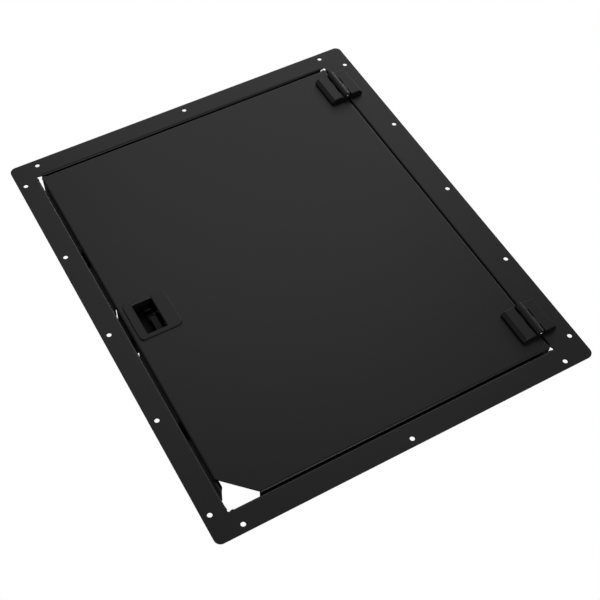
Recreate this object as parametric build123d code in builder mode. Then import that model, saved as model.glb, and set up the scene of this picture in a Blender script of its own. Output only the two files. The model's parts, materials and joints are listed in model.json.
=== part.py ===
"""Flush deck hatch: a folded sheet frame, a folded sheet door on two block hinges, and a finger latch.

The origin is the middle of the rim's underside, which lies on the deck. +Z is up, +X points from the
latch side to the hinge side, and +Y from the clipped corner's end (front) to the rear. All sizes are in
millimetres.
"""

from build123d import *

import os
from math import radians, tan

os.makedirs("parts", exist_ok=True)

# --- Driving dimensions ----------------------------------------------------------------------------------

# Folded sheet
SHEET = 1.5  # thickness
BEND = 2.2  # outer radius of every fold
FLAT_OVERLAP = 1.0  # how far a fold's section runs into the flat sheet
THROUGH = 4 * SHEET  # length of a cutter that passes right through a sheet
CORNER_GAP = 5.0  # from the end of a fold to the corner of its sheet
RELIEF_R = 1.6  # round relief cut at each folded corner
RELIEF_INSET = 0.9  # from the corner's two edges to the middle of the frame's relief

# Frame
RIM_X = 425.0
RIM_Y = 508.0
RIM_CORNER_R = 7.0
OPENING_LATCH = -188.2  # x of the opening's latch side
OPENING_HINGE = 179.5
OPENING_FRONT = -228.5  # y of the opening's front side
OPENING_REAR = 229.8
FRAME_DEPTH = 32.0  # from the rim's top to the bottom of the turned-down edge
SCREW_HOLE_R = 2.6
HOLE_INSET = 8.0  # from a hole's centre to the rim's edge
END_OFFSET = 30.5  # from the last hole of a row to the rim's end
LONG_SIDE_HOLES = 5
SHORT_SIDE_HOLES = 3

# Door
DOOR_LATCH = -185.0
DOOR_HINGE = 178.7
DOOR_FRONT = -226.0
DOOR_REAR = 227.4
DOOR_DEPTH = 25.0
LIP = 7.8  # width of the inward lip along the bottom of the door's edges
CLIP_SUM = -378.0  # the clipped corner is cut along the line x + y = CLIP_SUM
CLIP_LEVEL = -2.2  # the clip removes the panel and the bend, down to this height
CLIP_LATCH_END = -206.5  # y where the latch-side edge ends under the clip
CLIP_LIP_END = -193.6  # y where its lip ends, along the inner side
CLIP_FRONT_END = -153.5  # x where the front edge ends under the clip
MITRE_KERF = 1.5

# Stop tabs and rubber bumpers
TAB_WIDTH = 22.0
TAB_LIP = 13.0
TAB_TOP = -27.0
TAB_RISE = 6.4  # from a tab's underside up into the edge that it is folded from
TAB_RELIEF = 2.0  # width of the cut beside and above a tab
BUMPER_HEAD_R = 4.5
BUMPER_STEM_R = 2.2
BUMPER_BULB_R = 3.2
BUMPER_BULB_LENGTH = 1.4
BUMPER_BULB_TAPER = 20.0  # degrees
BUMPER_INSET = 8.0  # from the frame's opening to a bumper's axis
BUMPERS = {
    "latch_rear": ((-1, 0), 120.0),
    "latch_front": ((-1, 0), -120.0),
    "rear": ((0, 1), 0.0),
    "front": ((0, -1), 0.0),
}

# Hinges: the sections are drawn about the pin's axis
PIN_X = 177.3
PIN_Z = SHEET + 5.0
HINGES = {"rear": 191.6, "front": -190.0}
HINGE_LENGTH = 40.0
KNUCKLES = 4
KNUCKLE_R = 4.7
KNUCKLE_GAP = 0.2
PIN_R = 2.0
PIN_CLEARANCE = 0.05  # radial, in the door's knuckles
PIN_PROUD = 0.4
DOOR_LEAF_GAP = 2.0  # from the knuckles to the door leaf's block
FRAME_LEAF_GAP = 0.9
ARM_OVERLAP = 1.0  # how far a knuckle's arm runs into its own leaf's block
LEAF_TOP = 1.75  # above the pin's axis
DOOR_ARM_TOP = 0.0  # the door leaf's knuckle arms lie lower than its block
DOOR_LEAF_REACH = 21.1
FRAME_LEAF_REACH = 20.0
LEAF_CHAMFER = 3.5
LEAF_ROUND = 0.9
LEAF_SCREW_SPACING = 20.0
LEAF_SCREW_R = 2.0
LEAF_SCREW_DEPTH = 4.6  # into the leaf
LEAF_SCREW_CLEARANCE = 0.15
SCREW_HEAD_R = 3.7
SCREW_HEAD_ANGLE = 120.0
SOCKET_ACROSS_FLATS = 2.5
SOCKET_DEPTH = 1.9

# Latch: a bezel above the door's sheet, a case below it, and a sprung bolt between them
LATCH_Y = 1.4  # y of the latch's middle line
BEZEL_X = (-179.6, -132.6)
BEZEL_Y = 49.0
BEZEL_HEIGHT = 1.6
BEZEL_CORNER_R = 4.5
BEZEL_ROUND = 0.8
POCKET_X = (-169.9, -148.4)
POCKET_Y = 39.0
POCKET_BEVEL = 0.9
COLLAR = 1.5
COLLAR_CLEARANCE = 0.25
COLLAR_CORNER_R = 1.0
CASE_X = (-184.8, -133.1)
CASE_Y = (-20.6, 26.6)
CASE_BOTTOM = -20.0
CASE_FLOOR = 2.0
CAVITY_X = (-174.0, -141.0)
CAVITY_Y = 39.2
BOSSES = [(x, LATCH_Y + y) for x in (-177.0, -137.0) for y in (-17.4, 17.4)]
BOSS_R = 2.5
BOSS_BOTTOM = -9.0
BOSS_CLEARANCE = 0.1
LATCH_SCREW_R = 1.25
LATCH_SCREW_TOP = -3.0
LATCH_SCREW_CLEARANCE = 0.15
LATCH_HEAD_R = 2.5
LATCH_HEAD_HEIGHT = 1.6
LATCH_HEAD_RECESS = 2.0
LATCH_SOCKET_ACROSS_FLATS = 2.0
NOTCH_TOP = -1.2  # the notch in the door's edge, which the case passes through
NOTCH_TOP_Y = (-22.0, 28.0)
NOTCH_SHOULDER = -6.5
NOTCH_SHOULDER_Y = (-26.6, 33.4)
LIP_NOTCH_Y = 40.0
BOLT_TRAVEL = 7.0
BOLT_WITHDRAWN_TIP = -187.0  # the withdrawn bolt's tip, which passes the frame's edge as the door swings
BOLT_NOSE_Y = 26.0
BOLT_NOSE_Z = (-11.5, -4.0)
BOLT_BEVEL = 4.5
BOLT_TOP = -0.6
SLIDE_CLEARANCE = 0.15
POST_LENGTH = 3.6  # the posts that slide under the bezel, along x
POST_WIDTH = 4.0
BASE_TOP = -15.5
BAR_X = (-159.2, -152.8)
BAR_ROUND = 5.0  # radius along the top of the finger bar, on the side that the fingers pull
BAR_TALL_END = -0.2  # where the tall part of the finger bar stops, from the latch's middle line
BAR_LOW_TOP = -9.0
BAR_RIB_Y = (10.4, 11.8)  # from the latch's middle line
BAR_RIB_TOP = -3.5
STRIKE_SLOT_Y = 29.0
STRIKE_SLOT_Z = (-12.6, -3.2)
STRIKE_SLOT_R = 1.0

# Latch springs
SPRING_Y = 9.0
SPRING_Z = -12.0
SPRING_R = 2.0  # to the middle of the wire
SPRING_WIRE_R = 0.35
SPRING_TURNS = 7
SPIGOT_R = 1.4
SPIGOT_LENGTH = 1.6

# --- Sheet folding ----------------------------------------------------------------------------------------

UP = Vector(0, 0, 1)


def folded_section(depth, lip):
    """Section of a folded edge: x runs from its outer face into the flat sheet, y up from the sheet's top."""
    corners = [(BEND + FLAT_OVERLAP, 0), (0, 0), (0, -depth)]
    if lip:
        corners.append((lip, -depth))
    with BuildLine() as section:
        outer = FilletPolyline(*corners, radius=BEND)
        offset(outer, amount=SHEET, side=Side.LEFT)
    make_face(section.edges())


def fold(into, face, run, depth, lip=0):
    """Adds a folded edge whose outer face stands at the coordinate face, between the two ends in run."""
    direction = Vector(*into, 0)
    middle = (run[0] + run[1]) / 2
    origin = Vector(face, middle, SHEET) if into[0] else Vector(middle, face, SHEET)
    with BuildSketch(Plane(origin, x_dir=direction, z_dir=direction.cross(UP))) as section:
        folded_section(depth, lip)
    extrude(section.sketch, amount=(run[1] - run[0]) / 2, both=True)


def bend_zones(folds):
    """The strips that the folds take from a flat sheet, drawn in plan."""
    for into, face, run in folds:
        middle = (run[0] + run[1]) / 2
        length = run[1] - run[0]
        across = face + sum(into) * BEND / 2
        if into[0]:
            with Locations((across, middle)):
                Rectangle(BEND, length)
        else:
            with Locations((middle, across)):
                Rectangle(length, BEND)


def plan_rectangle(x_range, y_range, mode=Mode.ADD):
    """A rectangle given by its lowest and highest x and y."""
    centre = ((x_range[0] + x_range[1]) / 2, (y_range[0] + y_range[1]) / 2)
    with Locations(centre):
        Rectangle(x_range[1] - x_range[0], y_range[1] - y_range[0], mode=mode)


def block(x_range, y_range, z_range, mode=Mode.ADD):
    """A box given by its lowest and highest coordinates."""
    centre = tuple((low + high) / 2 for low, high in (x_range, y_range, z_range))
    size = [high - low for low, high in (x_range, y_range, z_range)]
    with Locations(centre):
        Box(*size, mode=mode)


def latch_span(width):
    """The y range of the given width about the latch's middle line."""
    return (LATCH_Y - width / 2, LATCH_Y + width / 2)


def latch_plane(x):
    """Plane across the bolt's travel, centred on the latch's middle line."""
    return Plane(origin=(x, LATCH_Y, 0), x_dir=(0, 1, 0), z_dir=(1, 0, 0))


def save(builder, label):
    """Names a finished piece and writes it as its own STEP file."""
    builder.part.label = label
    export_step(builder.part, f"parts/{label}.step")


# --- Leaf screws, which come up through the sheet into the hinge leaves -----------------------------------

HEAD_DEPTH = (SCREW_HEAD_R - LEAF_SCREW_R) / tan(radians(SCREW_HEAD_ANGLE / 2))
SHEET_HOLE_R = LEAF_SCREW_R + LEAF_SCREW_CLEARANCE


def leaf_screw_places(leaf_x, hinge_y):
    """Plan positions of the two screws of one leaf."""
    return [(leaf_x, hinge_y - LEAF_SCREW_SPACING / 2), (leaf_x, hinge_y + LEAF_SCREW_SPACING / 2)]


def head_cone(mode=Mode.ADD):
    """The flat head's cone, with its wide end on the sheet's underside."""
    Cone(
        SCREW_HEAD_R,
        LEAF_SCREW_R,
        HEAD_DEPTH,
        align=(Align.CENTER, Align.CENTER, Align.MIN),
        mode=mode,
    )


def cut_screw_holes(places):
    """Countersunk clearance holes through the sheet, seated for flat heads from below."""
    with Locations(*[(x, y, 0) for x, y in places]):
        Cylinder(SHEET_HOLE_R, 2 * SHEET, mode=Mode.SUBTRACT)
        head_cone(mode=Mode.SUBTRACT)


DOOR_LEAF_INNER = KNUCKLE_R + DOOR_LEAF_GAP
FRAME_LEAF_INNER = KNUCKLE_R + FRAME_LEAF_GAP
DOOR_LEAF_SCREW_X = PIN_X - (DOOR_LEAF_REACH + DOOR_LEAF_INNER) / 2
FRAME_LEAF_SCREW_X = PIN_X + (FRAME_LEAF_REACH + FRAME_LEAF_INNER) / 2
DOOR_SCREWS = {place: leaf_screw_places(DOOR_LEAF_SCREW_X, y) for place, y in HINGES.items()}
FRAME_SCREWS = {place: leaf_screw_places(FRAME_LEAF_SCREW_X, y) for place, y in HINGES.items()}

# --- Frame ------------------------------------------------------------------------------------------------

frame_run_y = (OPENING_FRONT + CORNER_GAP, OPENING_REAR - CORNER_GAP)
frame_run_x = (OPENING_LATCH + CORNER_GAP, OPENING_HINGE - CORNER_GAP)
frame_folds = [
    ((-1, 0), OPENING_LATCH, frame_run_y),
    ((1, 0), OPENING_HINGE, frame_run_y),
    ((0, -1), OPENING_FRONT, frame_run_x),
    ((0, 1), OPENING_REAR, frame_run_x),
]
relief_x = (OPENING_LATCH + RELIEF_INSET, OPENING_HINGE - RELIEF_INSET)
relief_y = (OPENING_FRONT + RELIEF_INSET, OPENING_REAR - RELIEF_INSET)
frame_reliefs = [(x, y) for x in relief_x for y in relief_y]
opening_face = {(-1, 0): OPENING_LATCH, (0, 1): OPENING_REAR, (0, -1): OPENING_FRONT}


def bumper_place(side, along):
    """Plan position of a bumper, inside the opening's edge on the given side."""
    face = opening_face[side]
    inward = face - sum(side) * BUMPER_INSET
    return (inward, along) if side[0] else (along, inward)


with BuildPart() as frame:
    with BuildSketch():
        RectangleRounded(RIM_X, RIM_Y, RIM_CORNER_R)
        plan_rectangle((OPENING_LATCH, OPENING_HINGE), (OPENING_FRONT, OPENING_REAR), mode=Mode.SUBTRACT)
        with BuildSketch(mode=Mode.SUBTRACT):
            bend_zones(frame_folds)
        with Locations(*frame_reliefs):
            Circle(RELIEF_R, mode=Mode.SUBTRACT)
        with GridLocations(
            RIM_X - 2 * HOLE_INSET,
            (RIM_Y - 2 * END_OFFSET) / (LONG_SIDE_HOLES - 1),
            2,
            LONG_SIDE_HOLES,
        ):
            Circle(SCREW_HOLE_R, mode=Mode.SUBTRACT)
        with GridLocations(
            (RIM_X - 2 * END_OFFSET) / (SHORT_SIDE_HOLES - 1),
            RIM_Y - 2 * HOLE_INSET,
            SHORT_SIDE_HOLES,
            2,
        ):
            Circle(SCREW_HOLE_R, mode=Mode.SUBTRACT)
    extrude(amount=SHEET)
    for into, face, run in frame_folds:
        fold(into, face, run, FRAME_DEPTH)
    # The edge is cut away around each stop tab, which is folded inwards above the cut
    tab_cut_z = (SHEET - FRAME_DEPTH, TAB_TOP + TAB_RELIEF)
    for side, along in BUMPERS.values():
        face = opening_face[side]
        across = sorted((face - sum(side) * SHEET, face + sum(side) * 2 * SHEET))
        along_range = (along - TAB_WIDTH / 2 - TAB_RELIEF, along + TAB_WIDTH / 2 + TAB_RELIEF)
        x_range, y_range = (across, along_range) if side[0] else (along_range, across)
        block(x_range, y_range, tab_cut_z, mode=Mode.SUBTRACT)
    for side, along in BUMPERS.values():
        inwards = (-side[0], -side[1])
        tab_face = opening_face[side] + sum(side) * SHEET
        direction = Vector(*inwards, 0)
        base = (tab_face, along) if side[0] else (along, tab_face)
        tab_plane = Plane(Vector(*base, TAB_TOP - SHEET), x_dir=direction, z_dir=direction.cross(UP))
        with BuildSketch(tab_plane):
            with BuildLine():
                bent = FilletPolyline((0, TAB_RISE), (0, 0), (TAB_LIP + SHEET, 0), radius=BEND)
                offset(bent, amount=SHEET, side=Side.LEFT)
            make_face()
        extrude(amount=TAB_WIDTH / 2, both=True)
    with Locations(*[(*bumper_place(*where), TAB_TOP) for where in BUMPERS.values()]):
        Cylinder(BUMPER_STEM_R, THROUGH, mode=Mode.SUBTRACT)
    with BuildSketch(latch_plane(OPENING_LATCH - THROUGH / 2)):
        with Locations((0, sum(STRIKE_SLOT_Z) / 2)):
            RectangleRounded(STRIKE_SLOT_Y, STRIKE_SLOT_Z[1] - STRIKE_SLOT_Z[0], STRIKE_SLOT_R)
    extrude(amount=THROUGH, mode=Mode.SUBTRACT)
    for places in FRAME_SCREWS.values():
        cut_screw_holes(places)
save(frame, "frame")

# --- Door -------------------------------------------------------------------------------------------------

door_folds = [
    ((1, 0), DOOR_LATCH, (CLIP_LATCH_END, DOOR_REAR - CORNER_GAP)),
    ((-1, 0), DOOR_HINGE, (DOOR_FRONT + CORNER_GAP, DOOR_REAR - CORNER_GAP)),
    ((0, 1), DOOR_FRONT, (CLIP_FRONT_END, DOOR_HINGE - CORNER_GAP)),
    ((0, -1), DOOR_REAR, (DOOR_LATCH + CORNER_GAP, DOOR_HINGE - CORNER_GAP)),
]
whole_corners = [(DOOR_LATCH, DOOR_REAR, -45), (DOOR_HINGE, DOOR_REAR, 45), (DOOR_HINGE, DOOR_FRONT, -45)]
DOOR_BOTTOM = SHEET - DOOR_DEPTH
LIP_LEVEL = DOOR_BOTTOM + BEND
cut_margin = 2 * LIP
pocket_centre = (sum(POCKET_X) / 2, LATCH_Y)
POCKET_LENGTH = POCKET_X[1] - POCKET_X[0]

with BuildPart() as door:
    with BuildSketch():
        plan_rectangle((DOOR_LATCH, DOOR_HINGE), (DOOR_FRONT, DOOR_REAR))
        with BuildSketch(mode=Mode.SUBTRACT):
            bend_zones(door_folds)
        with Locations(*[(x, y) for x, y, _ in whole_corners]):
            Circle(RELIEF_R, mode=Mode.SUBTRACT)
    extrude(amount=SHEET)
    for into, face, run in door_folds:
        fold(into, face, run, DOOR_DEPTH, LIP)
    # Clipped corner
    with BuildSketch(Plane.XY.offset(CLIP_LEVEL)):
        clip_x = CLIP_SUM - DOOR_FRONT
        clip_y = CLIP_SUM - DOOR_LATCH
        with BuildLine():
            Polyline(
                (DOOR_LATCH - BEND, clip_y + BEND),
                (clip_x + BEND, DOOR_FRONT - BEND),
                (DOOR_LATCH - BEND, DOOR_FRONT - BEND),
                close=True,
            )
        make_face()
    extrude(amount=SHEET - CLIP_LEVEL, mode=Mode.SUBTRACT)
    # Mitred ends of the lips: a kerf at each whole corner, and a slant at each side of the clip
    with BuildSketch(Plane.XY.offset(DOOR_BOTTOM)):
        for x, y, angle in whole_corners:
            with Locations((x, y)):
                Rectangle(2 * cut_margin, MITRE_KERF, rotation=angle)
        with BuildLine():
            Polyline(
                (DOOR_LATCH, CLIP_LATCH_END),
                (DOOR_LATCH + LIP, CLIP_LIP_END),
                (DOOR_LATCH + cut_margin, CLIP_LIP_END),
                (DOOR_LATCH + cut_margin, CLIP_LATCH_END),
                close=True,
            )
        make_face()
        with BuildLine():
            Polyline(
                (CLIP_FRONT_END - SHEET, DOOR_FRONT - SHEET),
                (CLIP_FRONT_END + cut_margin, DOOR_FRONT + cut_margin),
                (CLIP_FRONT_END - SHEET, DOOR_FRONT + cut_margin),
                close=True,
            )
        make_face()
    extrude(amount=BEND, mode=Mode.SUBTRACT)
    # Notch in the latch-side edge for the case and bolt
    with BuildSketch(Plane.YZ.offset(DOOR_LATCH - SHEET)):
        with BuildLine():
            Polyline(
                (NOTCH_TOP_Y[0], NOTCH_TOP),
                (NOTCH_TOP_Y[1], NOTCH_TOP),
                (NOTCH_SHOULDER_Y[1], NOTCH_SHOULDER),
                (NOTCH_SHOULDER_Y[1], DOOR_BOTTOM - SHEET),
                (NOTCH_SHOULDER_Y[0], DOOR_BOTTOM - SHEET),
                (NOTCH_SHOULDER_Y[0], NOTCH_SHOULDER),
                close=True,
            )
        make_face()
    extrude(amount=LIP + 2 * SHEET, mode=Mode.SUBTRACT)
    block(
        (DOOR_LATCH - SHEET, DOOR_LATCH + LIP + SHEET),
        latch_span(2 * LIP_NOTCH_Y),
        (DOOR_BOTTOM - SHEET, LIP_LEVEL),
        mode=Mode.SUBTRACT,
    )
    # Cut-out for the bezel's collar, and holes for its bosses
    with BuildSketch():
        with Locations(pocket_centre):
            RectangleRounded(
                POCKET_LENGTH + 2 * (COLLAR + COLLAR_CLEARANCE),
                POCKET_Y + 2 * (COLLAR + COLLAR_CLEARANCE),
                COLLAR_CORNER_R,
            )
        with Locations(*BOSSES):
            Circle(BOSS_R + BOSS_CLEARANCE)
    extrude(amount=SHEET, mode=Mode.SUBTRACT)
    for places in DOOR_SCREWS.values():
        cut_screw_holes(places)
save(door, "door")

# --- Hinges -----------------------------------------------------------------------------------------------

KNUCKLE_PITCH = HINGE_LENGTH / KNUCKLES
LEAF_BOTTOM = SHEET - PIN_Z
EDGE_TOLERANCE = 0.05  # for choosing edges by where they lie


def hinge_plane(y):
    """Plane across the pin, centred on its axis, with x along +X and y along +Z. Its normal points to -Y."""
    return Plane(origin=(PIN_X, y, PIN_Z), x_dir=(1, 0, 0), z_dir=(0, -1, 0))


def leaf_body(side, inner, reach, hinge_y):
    """The block of a leaf on one side of the pin (side is -1 or 1), chamfered along its outer edge."""
    with BuildSketch(hinge_plane(hinge_y)) as section:
        with BuildLine():
            Polyline(
                (side * inner, LEAF_BOTTOM),
                (side * reach, LEAF_BOTTOM),
                (side * reach, LEAF_TOP - LEAF_CHAMFER),
                (side * (reach - LEAF_CHAMFER), LEAF_TOP),
                (side * inner, LEAF_TOP),
                close=True,
            )
        make_face()
        chamfer_ends = section.vertices().group_by(Axis.Z)[1:]
        outer = [v for group in chamfer_ends for v in group if abs(v.X - PIN_X) > inner + LEAF_ROUND]
        fillet(outer, radius=LEAF_ROUND)
    extrude(section.sketch, amount=HINGE_LENGTH / 2, both=True)


def leaf_end_edges(inner_x):
    """Edges around both ends of a leaf's block, except along the sheet and beside the knuckles."""
    end_edges = faces().filter_by(Axis.Y).edges()
    above_sheet = end_edges.filter_by(lambda edge: edge.center().Z > SHEET + EDGE_TOLERANCE)
    return above_sheet.filter_by(lambda edge: abs(edge.center().X - inner_x) > EDGE_TOLERANCE)


def knuckle_ranges(hinge_y, first):
    """Ends of every second knuckle, counted from the front."""
    front = hinge_y - HINGE_LENGTH / 2
    return [
        (front + i * KNUCKLE_PITCH + KNUCKLE_GAP / 2, front + (i + 1) * KNUCKLE_PITCH - KNUCKLE_GAP / 2)
        for i in range(first, KNUCKLES, 2)
    ]


def leaf(side, inner, reach, arm_top, hinge_y, first_knuckle, bore_r, screw_places):
    """One hinge leaf: its block, its knuckles and its two blind screw holes."""
    leaf_body(side, inner, reach, hinge_y)
    fillet(leaf_end_edges(PIN_X + side * inner), radius=LEAF_ROUND)
    for low, high in knuckle_ranges(hinge_y, first_knuckle):
        with BuildSketch(hinge_plane((low + high) / 2)) as knuckle:
            Circle(KNUCKLE_R)
            arm_x = sorted((0, side * (inner + ARM_OVERLAP)))
            plan_rectangle(arm_x, (-KNUCKLE_R, arm_top))
        extrude(knuckle.sketch, amount=(high - low) / 2, both=True)
    with BuildSketch(hinge_plane(hinge_y)) as bore:
        Circle(bore_r)
    extrude(bore.sketch, amount=HINGE_LENGTH, both=True, mode=Mode.SUBTRACT)
    with Locations(*[(x, y, SHEET) for x, y in screw_places]):
        Cylinder(LEAF_SCREW_R, 2 * LEAF_SCREW_DEPTH, mode=Mode.SUBTRACT)


for place, hinge_y in HINGES.items():
    with BuildPart() as door_leaf:
        leaf(
            side=-1,
            inner=DOOR_LEAF_INNER,
            reach=DOOR_LEAF_REACH,
            arm_top=DOOR_ARM_TOP,
            hinge_y=hinge_y,
            first_knuckle=0,
            bore_r=PIN_R + PIN_CLEARANCE,
            screw_places=DOOR_SCREWS[place],
        )
    save(door_leaf, f"hinge_{place}_door_leaf")

    with BuildPart() as frame_leaf:
        leaf(
            side=1,
            inner=FRAME_LEAF_INNER,
            reach=FRAME_LEAF_REACH,
            arm_top=LEAF_TOP,
            hinge_y=hinge_y,
            first_knuckle=1,
            bore_r=PIN_R,
            screw_places=FRAME_SCREWS[place],
        )
    save(frame_leaf, f"hinge_{place}_frame_leaf")

    with BuildPart() as pin:
        with BuildSketch(hinge_plane(hinge_y)):
            Circle(PIN_R)
        extrude(amount=HINGE_LENGTH / 2 + PIN_PROUD, both=True)
        chamfer(pin.edges().filter_by(GeomType.CIRCLE), length=PIN_PROUD)
    save(pin, f"hinge_{place}_pin")

    for owner, places in (("door", DOOR_SCREWS[place]), ("frame", FRAME_SCREWS[place])):
        shank_top = SHEET + LEAF_SCREW_DEPTH - LEAF_SCREW_CLEARANCE
        with BuildPart() as screws:
            with Locations(*[(x, y, 0) for x, y in places]):
                head_cone()
                Cylinder(LEAF_SCREW_R, shank_top, align=(Align.CENTER, Align.CENTER, Align.MIN))
            with BuildSketch():
                with Locations(*places):
                    RegularPolygon(SOCKET_ACROSS_FLATS / 2, 6, major_radius=False)
            extrude(amount=SOCKET_DEPTH, mode=Mode.SUBTRACT)
        save(screws, f"hinge_{place}_{owner}_screws")

# --- Latch ------------------------------------------------------------------------------------------------

BEZEL_TOP = SHEET + BEZEL_HEIGHT

with BuildPart() as latch_bezel:
    with BuildSketch(Plane.XY.offset(SHEET)):
        with Locations((sum(BEZEL_X) / 2, LATCH_Y)):
            RectangleRounded(BEZEL_X[1] - BEZEL_X[0], BEZEL_Y, BEZEL_CORNER_R)
    extrude(amount=BEZEL_HEIGHT)
    fillet(latch_bezel.faces().sort_by(Axis.Z)[-1].edges(), radius=BEZEL_ROUND)
    with BuildSketch():
        with Locations(pocket_centre):
            RectangleRounded(POCKET_LENGTH + 2 * COLLAR, POCKET_Y + 2 * COLLAR, COLLAR_CORNER_R)
    extrude(amount=SHEET)
    with BuildSketch(Plane.XY.offset(BOSS_BOTTOM)):
        with Locations(*BOSSES):
            Circle(BOSS_R)
    extrude(amount=SHEET - BOSS_BOTTOM)
    with BuildSketch():
        with Locations(pocket_centre):
            Rectangle(POCKET_LENGTH, POCKET_Y)
    extrude(amount=BEZEL_TOP, mode=Mode.SUBTRACT)
    pocket_rim = latch_bezel.faces().sort_by(Axis.Z)[-1].inner_wires()[0].edges()
    chamfer(pocket_rim, length=POCKET_BEVEL)
    with BuildSketch(Plane.XY.offset(BOSS_BOTTOM)):
        with Locations(*BOSSES):
            Circle(LATCH_SCREW_R)
    extrude(amount=LATCH_SCREW_TOP + LATCH_SCREW_CLEARANCE - BOSS_BOTTOM, mode=Mode.SUBTRACT)
save(latch_bezel, "latch_bezel")

floor_top = CASE_BOTTOM + CASE_FLOOR
nose_slot_y = latch_span(BOLT_NOSE_Y + 2 * SLIDE_CLEARANCE)

with BuildPart() as latch_case:
    block(CASE_X, CASE_Y, (CASE_BOTTOM, 0))
    block(
        (CASE_X[0], DOOR_LATCH + BEND),
        CASE_Y,
        (NOTCH_TOP - SLIDE_CLEARANCE, SHEET),
        mode=Mode.SUBTRACT,
    )
    block(CAVITY_X, latch_span(CAVITY_Y), (floor_top, SHEET), mode=Mode.SUBTRACT)
    block(
        (CASE_X[0] - SHEET, CAVITY_X[0]),
        nose_slot_y,
        (BOLT_NOSE_Z[0] - SLIDE_CLEARANCE, SHEET),
        mode=Mode.SUBTRACT,
    )
    with BuildSketch(Plane.XY.offset(BOSS_BOTTOM)):
        with Locations(*BOSSES):
            Circle(BOSS_R + BOSS_CLEARANCE)
    extrude(amount=-BOSS_BOTTOM, mode=Mode.SUBTRACT)
    with BuildSketch(Plane.XY.offset(CASE_BOTTOM)):
        with Locations(*BOSSES):
            Circle(LATCH_SCREW_R + LATCH_SCREW_CLEARANCE)
    extrude(amount=-CASE_BOTTOM, mode=Mode.SUBTRACT)
    with BuildSketch(Plane.XY.offset(CASE_BOTTOM)):
        with Locations(*BOSSES):
            Circle(LATCH_HEAD_R + LATCH_SCREW_CLEARANCE)
    extrude(amount=LATCH_HEAD_RECESS, mode=Mode.SUBTRACT)
    with BuildSketch(latch_plane(CAVITY_X[1])):
        with Locations((-SPRING_Y, SPRING_Z), (SPRING_Y, SPRING_Z)):
            Circle(SPIGOT_R)
    extrude(amount=-SPIGOT_LENGTH)
save(latch_case, "latch_case")

with BuildPart() as latch_screws:
    head_bottom = CASE_BOTTOM + LATCH_HEAD_RECESS - LATCH_HEAD_HEIGHT
    with BuildSketch(Plane.XY.offset(head_bottom)):
        with Locations(*BOSSES):
            Circle(LATCH_HEAD_R)
    extrude(amount=LATCH_HEAD_HEIGHT)
    with BuildSketch(Plane.XY.offset(head_bottom)):
        with Locations(*BOSSES):
            Circle(LATCH_SCREW_R)
    extrude(amount=LATCH_SCREW_TOP - head_bottom)
    with BuildSketch(Plane.XY.offset(head_bottom)):
        with Locations(*BOSSES):
            RegularPolygon(LATCH_SOCKET_ACROSS_FLATS / 2, 6, major_radius=False)
    extrude(amount=LATCH_HEAD_HEIGHT, mode=Mode.SUBTRACT)
save(latch_screws, "latch_screws")

slider_half = CAVITY_Y / 2 - SLIDE_CLEARANCE
slider_y = latch_span(2 * slider_half)
post_x = (CAVITY_X[0], CAVITY_X[0] + POST_LENGTH)
rib_y = (LATCH_Y + BAR_RIB_Y[0], LATCH_Y + BAR_RIB_Y[1])
bolt_tip = BOLT_WITHDRAWN_TIP - BOLT_TRAVEL

with BuildPart() as latch_bolt:
    block((CAVITY_X[0], BAR_X[1]), slider_y, (floor_top, BASE_TOP))
    block(post_x, latch_span(BOLT_NOSE_Y), (BASE_TOP, BOLT_NOSE_Z[1]))
    block(post_x, (slider_y[0], slider_y[0] + POST_WIDTH), (BASE_TOP, BOLT_TOP))
    block(post_x, (slider_y[1] - POST_WIDTH, slider_y[1]), (BASE_TOP, BOLT_TOP))
    with BuildSketch(Plane.XZ.offset(-LATCH_Y)):
        with BuildLine():
            Polyline(
                (CAVITY_X[0] + SHEET, BOLT_NOSE_Z[0]),
                (bolt_tip + BOLT_BEVEL, BOLT_NOSE_Z[0]),
                (bolt_tip, BOLT_NOSE_Z[0] + BOLT_BEVEL),
                (bolt_tip, BOLT_NOSE_Z[1]),
                (CAVITY_X[0] + SHEET, BOLT_NOSE_Z[1]),
                close=True,
            )
        make_face()
    extrude(amount=BOLT_NOSE_Y / 2, both=True)
    block(BAR_X, slider_y, (BASE_TOP, BAR_LOW_TOP))
    block(BAR_X, rib_y, (BASE_TOP, BAR_RIB_TOP))
    with BuildSketch(Plane.XZ.offset(-LATCH_Y - BAR_TALL_END)):
        plan_rectangle(BAR_X, (BASE_TOP, BOLT_TOP))
        pulled_corner = vertices().group_by(Axis.Z)[-1].sort_by(Axis.X)[-1]
        fillet(pulled_corner, radius=BAR_ROUND)
    extrude(amount=slider_half + BAR_TALL_END)
    with BuildSketch(latch_plane(BAR_X[1])):
        with Locations((-SPRING_Y, SPRING_Z), (SPRING_Y, SPRING_Z)):
            Circle(SPIGOT_R)
    extrude(amount=SPIGOT_LENGTH)
save(latch_bolt, "latch_bolt")

spring_start = BAR_X[1] + SPRING_WIRE_R
spring_length = CAVITY_X[1] - BAR_X[1] - 2 * SPRING_WIRE_R

for place, spring_y in (("front", LATCH_Y - SPRING_Y), ("rear", LATCH_Y + SPRING_Y)):
    with BuildPart() as spring:
        with BuildLine():
            coil = Helix(
                pitch=spring_length / SPRING_TURNS,
                height=spring_length,
                radius=SPRING_R,
                center=(spring_start, spring_y, SPRING_Z),
                direction=(1, 0, 0),
            )
        with BuildSketch(Plane(coil @ 0, z_dir=coil % 0)):
            Circle(SPRING_WIRE_R)
        sweep(path=coil, is_frenet=True)
    save(spring, f"latch_spring_{place}")

# --- Stop bumpers -----------------------------------------------------------------------------------------

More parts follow.
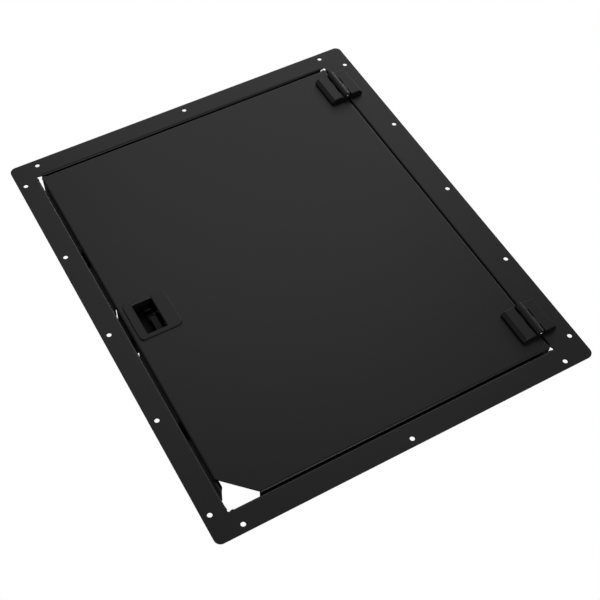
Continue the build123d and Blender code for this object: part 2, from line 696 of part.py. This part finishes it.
for place, where in BUMPERS.items():
    x, y = bumper_place(*where)
    with BuildPart() as bumper:
        with BuildSketch(Plane.XY.offset(TAB_TOP)):
            with Locations((x, y)):
                Circle(BUMPER_HEAD_R)
        extrude(amount=DOOR_BOTTOM - TAB_TOP)
        with BuildSketch(Plane.XY.offset(TAB_TOP - SHEET)):
            with Locations((x, y)):
                Circle(BUMPER_STEM_R)
        extrude(amount=SHEET)
        with BuildSketch(Plane.XY.offset(TAB_TOP - SHEET)):
            with Locations((x, y)):
                Circle(BUMPER_BULB_R)
        extrude(amount=-BUMPER_BULB_LENGTH, taper=BUMPER_BULB_TAPER)
    save(bumper, f"stop_bumper_{place}")
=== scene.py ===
"""Looks of the deck hatch: satin black powder-coated sheet, two black block hinges and a finger latch.

Every CAD node keeps its shape, apart from small edge rounding, and gets a material. The exceptions are the
latch's two springs, which wound ones stand for.

Everything is in metres, in the frame of the CAD model: +Z is up, +X runs from the latch side to the hinge
side, and +Y runs from the clipped corner's end to the rear. The origin is in the middle of the rim, at its
underside.
"""

import json
import math

import bpy
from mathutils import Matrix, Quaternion, Vector


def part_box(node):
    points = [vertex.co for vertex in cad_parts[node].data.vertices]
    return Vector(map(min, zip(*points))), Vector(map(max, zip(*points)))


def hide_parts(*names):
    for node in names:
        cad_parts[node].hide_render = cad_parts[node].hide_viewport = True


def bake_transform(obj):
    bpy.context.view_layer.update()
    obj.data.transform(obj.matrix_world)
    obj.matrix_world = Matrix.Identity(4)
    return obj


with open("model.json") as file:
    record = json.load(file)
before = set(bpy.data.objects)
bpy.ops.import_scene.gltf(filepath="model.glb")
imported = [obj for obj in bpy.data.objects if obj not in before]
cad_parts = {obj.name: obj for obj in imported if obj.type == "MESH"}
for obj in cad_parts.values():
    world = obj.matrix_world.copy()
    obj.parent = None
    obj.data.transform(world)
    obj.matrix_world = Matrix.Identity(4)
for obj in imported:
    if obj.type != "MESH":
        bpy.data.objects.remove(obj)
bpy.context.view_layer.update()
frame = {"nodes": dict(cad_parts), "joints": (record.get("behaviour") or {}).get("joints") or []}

MM = 0.001
WHITE = (1, 1, 1, 1)

# --- Camera ---------------------------------------------------------------------------------------

RIM_TOP = 1.5 * MM  # the sheet's thickness
CAMERA_AIM = Vector((-0.0147, -0.0543, RIM_TOP))
CAMERA_DISTANCE = 1.1856
CAMERA_AZIMUTH = 211.39  # degrees, as the next two are
CAMERA_ELEVATION = 54.66
CAMERA_ROLL = 2.37
CAMERA_LENS = 68.99  # mm
CAMERA_SENSOR = 36.0  # mm


def direction(azimuth, elevation):
    """Unit vector at the given degrees: azimuth 0 is +Y and 90 is +X, and elevation is above the horizon."""
    turn = math.radians(azimuth)
    rise = math.radians(elevation)
    return Vector((math.sin(turn) * math.cos(rise), math.cos(turn) * math.cos(rise), math.sin(rise)))


def make_camera():
    """Puts the camera in front of the hatch, towards its latch side, looking down on it."""
    data = bpy.data.cameras.new("camera")
    data.lens = CAMERA_LENS
    data.sensor_width = CAMERA_SENSOR
    camera = bpy.data.objects.new("camera", data)
    bpy.context.scene.collection.objects.link(camera)
    back = direction(CAMERA_AZIMUTH, CAMERA_ELEVATION)
    camera.location = CAMERA_AIM + back * CAMERA_DISTANCE
    camera.rotation_mode = "QUATERNION"
    level = (-back).to_track_quat("-Z", "Y")
    camera.rotation_quaternion = level @ Quaternion((0, 0, 1), math.radians(CAMERA_ROLL))
    bpy.context.scene.camera = camera


make_camera()

# --- Node-tree helpers ----------------------------------------------------------------------------

NOISE_LOW = 0.3
NOISE_HIGH = 0.7  # most of a noise's values lie between these two


def new_material(name, metallic=0.0):
    """A material with one Principled shader. Returns the material, its tree and the shader."""
    material = bpy.data.materials.new(name)
    material.use_nodes = True
    tree = material.node_tree
    shader = tree.nodes["Principled BSDF"]
    shader.inputs["Metallic"].default_value = metallic
    return material, tree, shader


def object_coordinates(tree, centre=(0, 0, 0)):
    """The object's own coordinates in metres, counted from the given centre."""
    coordinates = tree.nodes.new("ShaderNodeTexCoord")
    mapping = tree.nodes.new("ShaderNodeMapping")
    mapping.inputs["Location"].default_value = [-place for place in centre]
    tree.links.new(coordinates.outputs["Object"], mapping.inputs["Vector"])
    return mapping.outputs["Vector"]


def noise(tree, vector, size, detail=2.0):
    """Noise whose lumps are about size metres across."""
    texture = tree.nodes.new("ShaderNodeTexNoise")
    texture.inputs["Scale"].default_value = 1 / size
    texture.inputs["Detail"].default_value = detail
    tree.links.new(vector, texture.inputs["Vector"])
    return texture.outputs["Fac"]


def vary_colour(tree, shader, value, dark, light):
    """Runs the base colour from dark to light with the value."""
    mix = tree.nodes.new("ShaderNodeMix")
    mix.data_type = "RGBA"
    mix.inputs["A"].default_value = (*dark, 1)
    mix.inputs["B"].default_value = (*light, 1)
    tree.links.new(value, mix.inputs["Factor"])
    tree.links.new(mix.outputs["Result"], shader.inputs["Base Color"])


def vary_roughness(tree, shader, value, low, high):
    """Runs the roughness from low to high with a noise."""
    remap = tree.nodes.new("ShaderNodeMapRange")
    remap.inputs["From Min"].default_value = NOISE_LOW
    remap.inputs["From Max"].default_value = NOISE_HIGH
    remap.inputs["To Min"].default_value = low
    remap.inputs["To Max"].default_value = high
    tree.links.new(value, remap.inputs["Value"])
    tree.links.new(remap.outputs["Result"], shader.inputs["Roughness"])


def add_bump(tree, shader, height, depth, strength=1.0):
    """Adds relief of the given depth in metres on top of what the shader's normal already has."""
    bump = tree.nodes.new("ShaderNodeBump")
    bump.inputs["Distance"].default_value = depth
    bump.inputs["Strength"].default_value = strength
    tree.links.new(height, bump.inputs["Height"])
    if shader.inputs["Normal"].is_linked:
        tree.links.new(shader.inputs["Normal"].links[0].from_socket, bump.inputs["Normal"])
    tree.links.new(bump.outputs["Normal"], shader.inputs["Normal"])


def mix_shaders(tree, choice, first, second):
    """A shader that is the first one where choice is 0 and the second one where it is 1."""
    mix = tree.nodes.new("ShaderNodeMixShader")
    tree.links.new(choice, mix.inputs["Fac"])
    tree.links.new(first.outputs[0], mix.inputs[1])
    tree.links.new(second.outputs[0], mix.inputs[2])
    return mix


def set_surface(tree, shader):
    """Makes the shader the surface of the tree's material or world."""
    output = next(node for node in tree.nodes if node.type.startswith("OUTPUT"))
    tree.links.new(shader.outputs[0], output.inputs["Surface"])


# --- Materials ------------------------------------------------------------------------------------

PIT_SIZE = 0.45 * MM
THREE_RINGS = 3 * MM  # length in which the wave texture draws about three rings


def powder_coat():
    """Satin black powder coat: soft orange peel, fine grain, and slight unevenness in shade."""
    material, tree, shader = new_material("powder_coat")
    plain = object_coordinates(tree)
    cloud = noise(tree, plain, size=70 * MM)
    peel = noise(tree, plain, size=2.2 * MM, detail=1.0)
    grain = noise(tree, plain, size=0.5 * MM)
    vary_colour(tree, shader, cloud, dark=(0.0040, 0.0040, 0.0042), light=(0.0060, 0.0060, 0.0058))
    vary_roughness(tree, shader, grain, low=0.33, high=0.39)
    add_bump(tree, shader, peel, depth=0.012 * MM)
    add_bump(tree, shader, grain, depth=0.004 * MM)
    return material


def hinge_black():
    """Black coating on die-cast metal: a little smoother than the sheet, with a faint cast texture."""
    material, tree, shader = new_material("hinge_coat")
    plain = object_coordinates(tree)
    cloud = noise(tree, plain, size=9 * MM)
    cast = noise(tree, plain, size=0.7 * MM, detail=3.0)
    vary_colour(tree, shader, cloud, dark=(0.0040, 0.0040, 0.0041), light=(0.0065, 0.0065, 0.0063))
    vary_roughness(tree, shader, cast, low=0.30, high=0.38)
    add_bump(tree, shader, cast, depth=0.010 * MM)
    return material


def latch_plastic():
    """Black moulded nylon of the bezel, with a spark-eroded grain of small round pits."""
    material, tree, shader = new_material("latch_nylon")
    plain = object_coordinates(tree)
    pits = tree.nodes.new("ShaderNodeTexVoronoi")
    pits.feature = "SMOOTH_F1"
    pits.inputs["Scale"].default_value = 1 / PIT_SIZE
    tree.links.new(plain, pits.inputs["Vector"])
    flow = noise(tree, plain, size=14 * MM)
    grain = noise(tree, plain, size=0.6 * MM)
    vary_colour(tree, shader, flow, dark=(0.0040, 0.0040, 0.0041), light=(0.0060, 0.0060, 0.0059))
    vary_roughness(tree, shader, grain, low=0.35, high=0.42)
    add_bump(tree, shader, pits.outputs["Distance"], depth=0.012 * MM, strength=0.6)
    return material


def latch_inner_shaded_plastic():
    """Black glass-filled nylon of the working parts, with a coarse flow pattern. Its colour is darker and
    its specular weaker than the bezel's, as painted shade for the deep latch pocket.
    """
    material, tree, shader = new_material("latch_inner_nylon_painted_shade")
    # weaker specular: part of the painted shade in the latch pocket
    shader.inputs["Specular IOR Level"].default_value = 0.3
    plain = object_coordinates(tree)
    flow = noise(tree, plain, size=6 * MM, detail=3.0)
    grain = noise(tree, plain, size=0.5 * MM)
    # darker than the bezel's nylon: black plastic darkened further as painted shade for the deep latch
    # pocket
    vary_colour(tree, shader, flow, dark=(0.0028, 0.0028, 0.0028), light=(0.0042, 0.0042, 0.0041))
    vary_roughness(tree, shader, grain, low=0.54, high=0.66)
    add_bump(tree, shader, grain, depth=0.006 * MM)
    return material


def turned_steel():
    """Stainless steel with fine lathe-turned rings, about 1 mm apart round the hinge pins' axis."""
    material, tree, shader = new_material("turned_steel", metallic=1.0)
    door_hinge = next(joint for joint in frame["joints"] if joint["name"] == "door_hinge")
    pin_x, _, pin_z = door_hinge["pos_m"]
    rings = tree.nodes.new("ShaderNodeTexWave")
    rings.wave_type = "RINGS"
    rings.rings_direction = "Y"
    rings.inputs["Scale"].default_value = 1 / THREE_RINGS
    rings.inputs["Distortion"].default_value = 0.6
    tree.links.new(object_coordinates(tree, centre=(pin_x, 0, pin_z)), rings.inputs["Vector"])
    dull = noise(tree, object_coordinates(tree), size=1.5 * MM)
    vary_colour(tree, shader, dull, dark=(0.45, 0.45, 0.44), light=(0.62, 0.62, 0.60))
    vary_roughness(tree, shader, dull, low=0.20, high=0.34)
    add_bump(tree, shader, rings.outputs["Fac"], depth=0.004 * MM)
    return material


def spring_wire():
    """Drawn spring wire: darker than the screws, with a dull oiled surface."""
    material, tree, shader = new_material("drawn_wire", metallic=1.0)
    grime = noise(tree, object_coordinates(tree), size=0.8 * MM, detail=3.0)
    vary_colour(tree, shader, grime, dark=(0.22, 0.22, 0.21), light=(0.38, 0.38, 0.36))
    vary_roughness(tree, shader, grime, low=0.26, high=0.42)
    add_bump(tree, shader, grime, depth=0.003 * MM)
    return material


def bumper_rubber():
    """Matt black rubber with a dusty bloom."""
    material, tree, shader = new_material("bumper_rubber")
    plain = object_coordinates(tree)
    bloom = noise(tree, plain, size=3 * MM, detail=4.0)
    grain = noise(tree, plain, size=0.35 * MM)
    vary_colour(tree, shader, bloom, dark=(0.010, 0.010, 0.010), light=(0.022, 0.022, 0.021))
    vary_roughness(tree, shader, bloom, low=0.68, high=0.82)
    add_bump(tree, shader, grain, depth=0.015 * MM)
    return material


SLOT_MATERIALS = {
    "sheet_powder_coat": powder_coat(),
    "hinge_black": hinge_black(),
    "latch_plastic": latch_plastic(),
    "steel": turned_steel(),
    "spring_steel": spring_wire(),
    "bumper_rubber": bumper_rubber(),
}
# darker plastic for the latch case and bolt: painted shade for the deep latch pocket
LATCH_SHADED_PLASTIC = latch_inner_shaded_plastic()
SHADED_LATCH_NODES = ("latch_case", "latch_bolt")

# --- CAD nodes: their materials, and the small rounding that every real edge has ------------------

# The springs need no rounding, as wound ones stand for them
EDGE_ROUND = {
    "sheet_powder_coat": 0.20 * MM,
    "hinge_black": 0.25 * MM,
    "latch_plastic": 0.20 * MM,
    "steel": 0.10 * MM,
    "bumper_rubber": 0.25 * MM,
}
SHARP_ANGLE = math.radians(35)
SAME_POINT = 0.001 * MM
LARGE_FACE_WEIGHT = 100  # 50 is neutral, and above it the larger faces set the shading


def round_edges(node, width):
    """Rounds the sharp edges of a CAD node by modifiers, and keeps its flat faces flat in shading."""
    weld = node.modifiers.new("weld", "WELD")
    weld.merge_threshold = SAME_POINT
    bevel = node.modifiers.new("edge_round", "BEVEL")
    bevel.width = width
    bevel.segments = 2
    bevel.limit_method = "ANGLE"
    bevel.angle_limit = SHARP_ANGLE
    normals = node.modifiers.new("flat_normals", "WEIGHTED_NORMAL")
    normals.mode = "FACE_AREA"
    normals.weight = LARGE_FACE_WEIGHT


for name, node in frame["nodes"].items():
    slot = node.data.materials[0].name
    # the latch case and bolt take the darker plastic, painted shade for the deep latch pocket
    node.data.materials[0] = LATCH_SHADED_PLASTIC if name in SHADED_LATCH_NODES else SLOT_MATERIALS[slot]
    if slot in EDGE_ROUND:
        round_edges(node, EDGE_ROUND[slot])

# --- Latch springs: wound wire in place of the CAD springs ----------------------------------------

WIRE_RADIUS = 0.35 * MM
SPRING_TURNS = 4.5
END_TURNS = 0.75  # closed part at each end, where the turns touch
MIDDLE_WIDENING = 0.5  # share by which the pitch is wider in the middle, where the turns crowd together most
POINTS_PER_TURN = 24
WIRE_SIDES = 10


def spring_path(low, high):
    """Points along the wire's middle, for a spring that lies along X and fills the box from low to high."""
    radius = (high.y - low.y) / 2 - WIRE_RADIUS
    start = low.x + WIRE_RADIUS
    length = high.x - low.x - 2 * WIRE_RADIUS
    closed = 2 * WIRE_RADIUS * END_TURNS
    points = []
    for step in range(round(SPRING_TURNS * POINTS_PER_TURN) + 1):
        turn = step / POINTS_PER_TURN
        if turn < END_TURNS:
            along = closed * turn / END_TURNS
        elif turn > SPRING_TURNS - END_TURNS:
            along = length - closed * (SPRING_TURNS - turn) / END_TURNS
        else:
            open_share = (turn - END_TURNS) / (SPRING_TURNS - 2 * END_TURNS)
            open_share -= MIDDLE_WIDENING * math.sin(2 * math.pi * open_share) / (2 * math.pi)
            along = closed + (length - 2 * closed) * open_share
        angle = 2 * math.pi * turn
        points.append(Vector((
            start + along,
            (low.y + high.y) / 2 + radius * math.cos(angle),
            (low.z + high.z) / 2 + radius * math.sin(angle),
        )))
    return points


def tube_mesh(name, points, radius):
    """A closed tube round the points, which never run straight along X."""
    vertices = []
    faces = []
    for ring, point in enumerate(points):
        ahead = points[min(ring + 1, len(points) - 1)]
        behind = points[max(ring - 1, 0)]
        forward = (ahead - behind).normalized()
        side = forward.cross(Vector((1, 0, 0))).normalized()
        up = side.cross(forward)
        for corner in range(WIRE_SIDES):
            angle = 2 * math.pi * corner / WIRE_SIDES
            vertices.append(point + radius * (side * math.cos(angle) + up * math.sin(angle)))
    for ring in range(len(points) - 1):
        for corner in range(WIRE_SIDES):
            here = ring * WIRE_SIDES + corner
            beside = ring * WIRE_SIDES + (corner + 1) % WIRE_SIDES
            faces.append((here, beside, beside + WIRE_SIDES, here + WIRE_SIDES))
    faces.append(tuple(reversed(range(WIRE_SIDES))))
    last_ring = (len(points) - 1) * WIRE_SIDES
    faces.append(tuple(range(last_ring, last_ring + WIRE_SIDES)))
    mesh = bpy.data.meshes.new(name)
    mesh.from_pydata(vertices, [], faces)
    mesh.polygons.foreach_set("use_smooth", [len(face) == 4 for face in faces])
    return mesh


def add_spring(cad_name):
    """A wound spring in a CAD one's place, filling the CAD spring's box."""
    low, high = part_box(cad_name)
    mesh = tube_mesh(f"{cad_name}_wound", spring_path(low, high), WIRE_RADIUS)
    spring = bpy.data.objects.new(f"{cad_name}_wound", mesh)
    bpy.context.scene.collection.objects.link(spring)
    mesh.materials.append(SLOT_MATERIALS["spring_steel"])
    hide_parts(cad_name)
    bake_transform(spring)


for place in ("front", "rear"):
    add_spring(f"latch_spring_{place}")

# --- Stage: a floor and a background that the camera sees as plain white --------------------------

FLOOR_DROP = 0.35  # below the origin
FLOOR_SIZE = 12.0
FLOOR_GREY = 0.25  # share of the light that the floor sends back
FLOOR_ROUGHNESS = 0.8
WORLD_LIGHT = 0.235  # strength of the background as a light


def show_to_camera(tree, shown, lighting):
    """Shows one shader to the camera, and lights the hatch with the other."""
    path = tree.nodes.new("ShaderNodeLightPath")
    return mix_shaders(tree, path.outputs["Is Camera Ray"], lighting, shown)


def make_floor():
    """A floor that looks white from above and is clear from below, so that it doesn't hide the underside."""
    bpy.ops.mesh.primitive_plane_add(size=FLOOR_SIZE, location=(0, 0, -FLOOR_DROP))
    floor = bpy.context.object
    floor.name = "floor"
    material, tree, matt = new_material("floor_white")
    matt.inputs["Base Color"].default_value = (FLOOR_GREY, FLOOR_GREY, FLOOR_GREY, 1)
    matt.inputs["Roughness"].default_value = FLOOR_ROUGHNESS
    glow = tree.nodes.new("ShaderNodeEmission")
    glow.inputs["Color"].default_value = WHITE
    upper = show_to_camera(tree, glow, matt)
    clear = tree.nodes.new("ShaderNodeBsdfTransparent")
    side = tree.nodes.new("ShaderNodeNewGeometry")
    set_surface(tree, mix_shaders(tree, side.outputs["Backfacing"], upper, clear))
    floor.data.materials.append(material)


def make_world():
    """A background that looks white, and lights the hatch evenly from all round."""
    world = bpy.data.worlds.new("world")
    bpy.context.scene.world = world
    world.use_nodes = True
    tree = world.node_tree
    dim = tree.nodes["Background"]
    dim.inputs["Color"].default_value = WHITE
    dim.inputs["Strength"].default_value = WORLD_LIGHT
    bright = tree.nodes.new("ShaderNodeBackground")
    bright.inputs["Color"].default_value = WHITE
    set_surface(tree, show_to_camera(tree, bright, dim))


make_floor()
make_world()

# --- Lights: five behind the hatch, for the sheen of its top and edges, and one in front ----------

LIGHT_DISTANCE = 2.4


def area_light(name, azimuth, elevation, size, power):
    """A rectangular light of the given metres and watts that faces the origin from the given direction."""
    data = bpy.data.lights.new(name, "AREA")
    data.shape = "RECTANGLE"
    data.size, data.size_y = size
    data.energy = power
    light = bpy.data.objects.new(name, data)
    bpy.context.scene.collection.objects.link(light)
    light.location = direction(azimuth, elevation) * LIGHT_DISTANCE
    light.rotation_mode = "QUATERNION"
    light.rotation_quaternion = (-light.location).to_track_quat("-Z", "Y")


area_light("rear_softbox", azimuth=27, elevation=54, size=(1.4, 1.0), power=2.35)
area_light("rear_low_softbox", azimuth=26, elevation=40, size=(1.4, 0.9), power=0.6)
area_light("hinge_side_strip", azimuth=60, elevation=20, size=(1.6, 0.4), power=5.2)
area_light("rear_right_strip", azimuth=40, elevation=20, size=(1.2, 0.4), power=3.4)
area_light("rear_strip", azimuth=12, elevation=22, size=(1.2, 0.4), power=2.6)
area_light("front_softbox", azimuth=170, elevation=20, size=(0.9, 0.6), power=9.0)
bpy.context.scene.view_settings.view_transform = "Standard"
